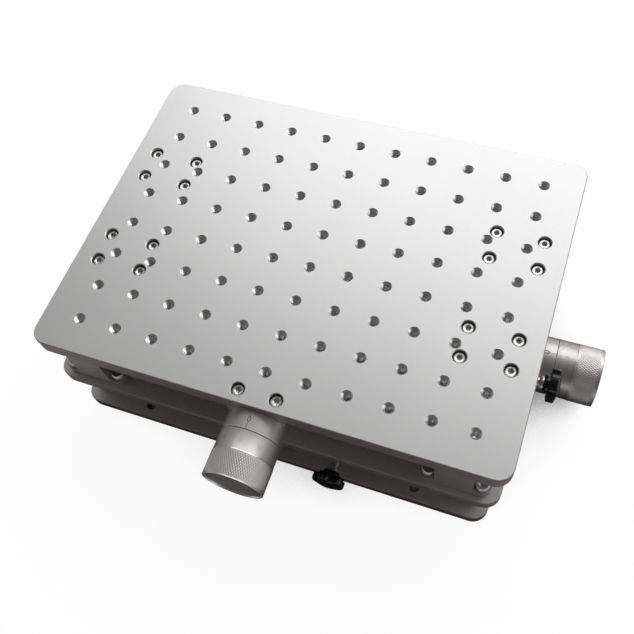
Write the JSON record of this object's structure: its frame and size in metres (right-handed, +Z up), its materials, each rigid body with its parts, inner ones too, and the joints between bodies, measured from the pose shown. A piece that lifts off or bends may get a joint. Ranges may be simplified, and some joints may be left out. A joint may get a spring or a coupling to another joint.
{
  "type": "manual x-y stage",
  "caption": "Manual x-y stage: tapped table over a saddle and a base on round guide shafts, each layer moved by a lead screw with a graduated drum and held by a star-knob lock.",
  "frame": {"origin": "centre of the base plate's bottom face", "axes": "+Z up through the table, +X to the right drum's side, +Y to the rear, away from the front drum"},
  "size_m": [0.3385, 0.261, 0.092],
  "materials": {
    "anodised_plate": "satin clear anodised",
    "machined_aluminium": "machined and anodised",
    "turned_aluminium": "turned and satin anodised",
    "ground_steel": "ground",
    "screw_steel": "stainless",
    "bronze": "machined",
    "black_plastic": "moulded"
  },
  "bodies": {
    "base": {"base_plate": "anodised_plate", "x_guide_shaft_front": "ground_steel", "x_guide_shaft_rear": "ground_steel", "x_shaft_support_front_left": "machined_aluminium", "x_shaft_support_front_right": "machined_aluminium", "x_shaft_support_rear_left": "machined_aluminium", "x_shaft_support_rear_right": "machined_aluminium", "x_support_screws": "screw_steel", "x_shaft_grub_screws": "screw_steel", "x_nut_block": "machined_aluminium", "x_lead_nut": "bronze", "x_nut_screws": "screw_steel"},
    "saddle": {"saddle_plate": "anodised_plate", "x_carriage_front_left": "machined_aluminium", "x_carriage_front_right": "machined_aluminium", "x_carriage_rear_left": "machined_aluminium", "x_carriage_rear_right": "machined_aluminium", "x_bushings": "bronze", "x_carriage_screws": "screw_steel", "x_bearing_block": "machined_aluminium", "x_bearings": "ground_steel", "x_index_collar": "turned_aluminium", "x_bearing_block_screws": "screw_steel", "y_guide_shaft_left": "ground_steel", "y_guide_shaft_right": "ground_steel", "y_shaft_support_front_left": "machined_aluminium", "y_shaft_support_front_right": "machined_aluminium", "y_shaft_support_rear_left": "machined_aluminium", "y_shaft_support_rear_right": "machined_aluminium", "y_support_screws": "screw_steel", "y_shaft_grub_screws": "screw_steel", "y_nut_block": "machined_aluminium", "y_lead_nut": "bronze", "y_nut_screws": "screw_steel"},
    "table": {"table_plate": "anodised_plate", "y_carriage_front_left": "machined_aluminium", "y_carriage_front_right": "machined_aluminium", "y_carriage_rear_left": "machined_aluminium", "y_carriage_rear_right": "machined_aluminium", "y_bushings": "bronze", "y_carriage_screws": "screw_steel", "y_bearing_block": "machined_aluminium", "y_bearings": "ground_steel", "y_index_collar": "turned_aluminium", "y_bearing_block_screws": "screw_steel"},
    "x_screw": {"x_lead_screw": "ground_steel", "x_drum": "turned_aluminium", "x_drum_spacer": "ground_steel", "x_drum_nut": "screw_steel"},
    "x_lock_pad": {"x_lock_pad": "bronze"},
    "x_lock_knob": {"x_lock_stud": "screw_steel", "x_lock_knob": "black_plastic"},
    "y_screw": {"y_lead_screw": "ground_steel", "y_drum": "turned_aluminium", "y_drum_spacer": "ground_steel", "y_drum_nut": "screw_steel"},
    "y_lock_pad": {"y_lock_pad": "bronze"},
    "y_lock_knob": {"y_lock_stud": "screw_steel", "y_lock_knob": "black_plastic"}
  },
  "joints": [
    {"name": "x_slide", "type": "slide", "parent": "base", "child": "saddle", "axis": [1, 0, 0], "range_m": [-0.06, 0.06]},
    {"name": "y_slide", "type": "slide", "parent": "saddle", "child": "table", "axis": [0, 1, 0], "range_m": [-0.045, 0.035]},
    {"name": "x_screw_turn", "type": "hinge", "parent": "saddle", "child": "x_screw", "pos_m": [0.1475, 0, 0.0283], "axis": [1, 0, 0], "range_deg": [-4320, 4320]},
    {"name": "y_screw_turn", "type": "hinge", "parent": "table", "child": "y_screw", "pos_m": [0, -0.105, 0.0683], "axis": [0, 1, 0], "range_deg": [-3240, 2520]},
    {"name": "x_lock_slide", "type": "slide", "parent": "saddle", "child": "x_lock_pad", "axis": [0, -1, 0], "range_m": [-0.00048, 0.0015]},
    {"name": "x_lock_turn", "type": "hinge", "parent": "x_lock_pad", "child": "x_lock_knob", "pos_m": [0.044, -0.0875, 0.025], "axis": [0, -1, 0], "range_deg": [-172.8, 540]},
    {"name": "y_lock_slide", "type": "slide", "parent": "table", "child": "y_lock_pad", "axis": [1, 0, 0], "range_m": [-0.00048, 0.0015]},
    {"name": "y_lock_turn", "type": "hinge", "parent": "y_lock_pad", "child": "y_lock_knob", "pos_m": [0.131, -0.03, 0.065], "axis": [1, 0, 0], "range_deg": [-172.8, 540]}
  ],
  "couplings": [
    {"joint": "x_screw_turn", "follows": "x_slide", "rad_per_m": 1256.6},
    {"joint": "y_screw_turn", "follows": "y_slide", "rad_per_m": 1256.6},
    {"joint": "x_lock_turn", "follows": "x_lock_slide", "rad_per_m": 6283.2},
    {"joint": "y_lock_turn", "follows": "y_lock_slide", "rad_per_m": 6283.2}
  ]
}
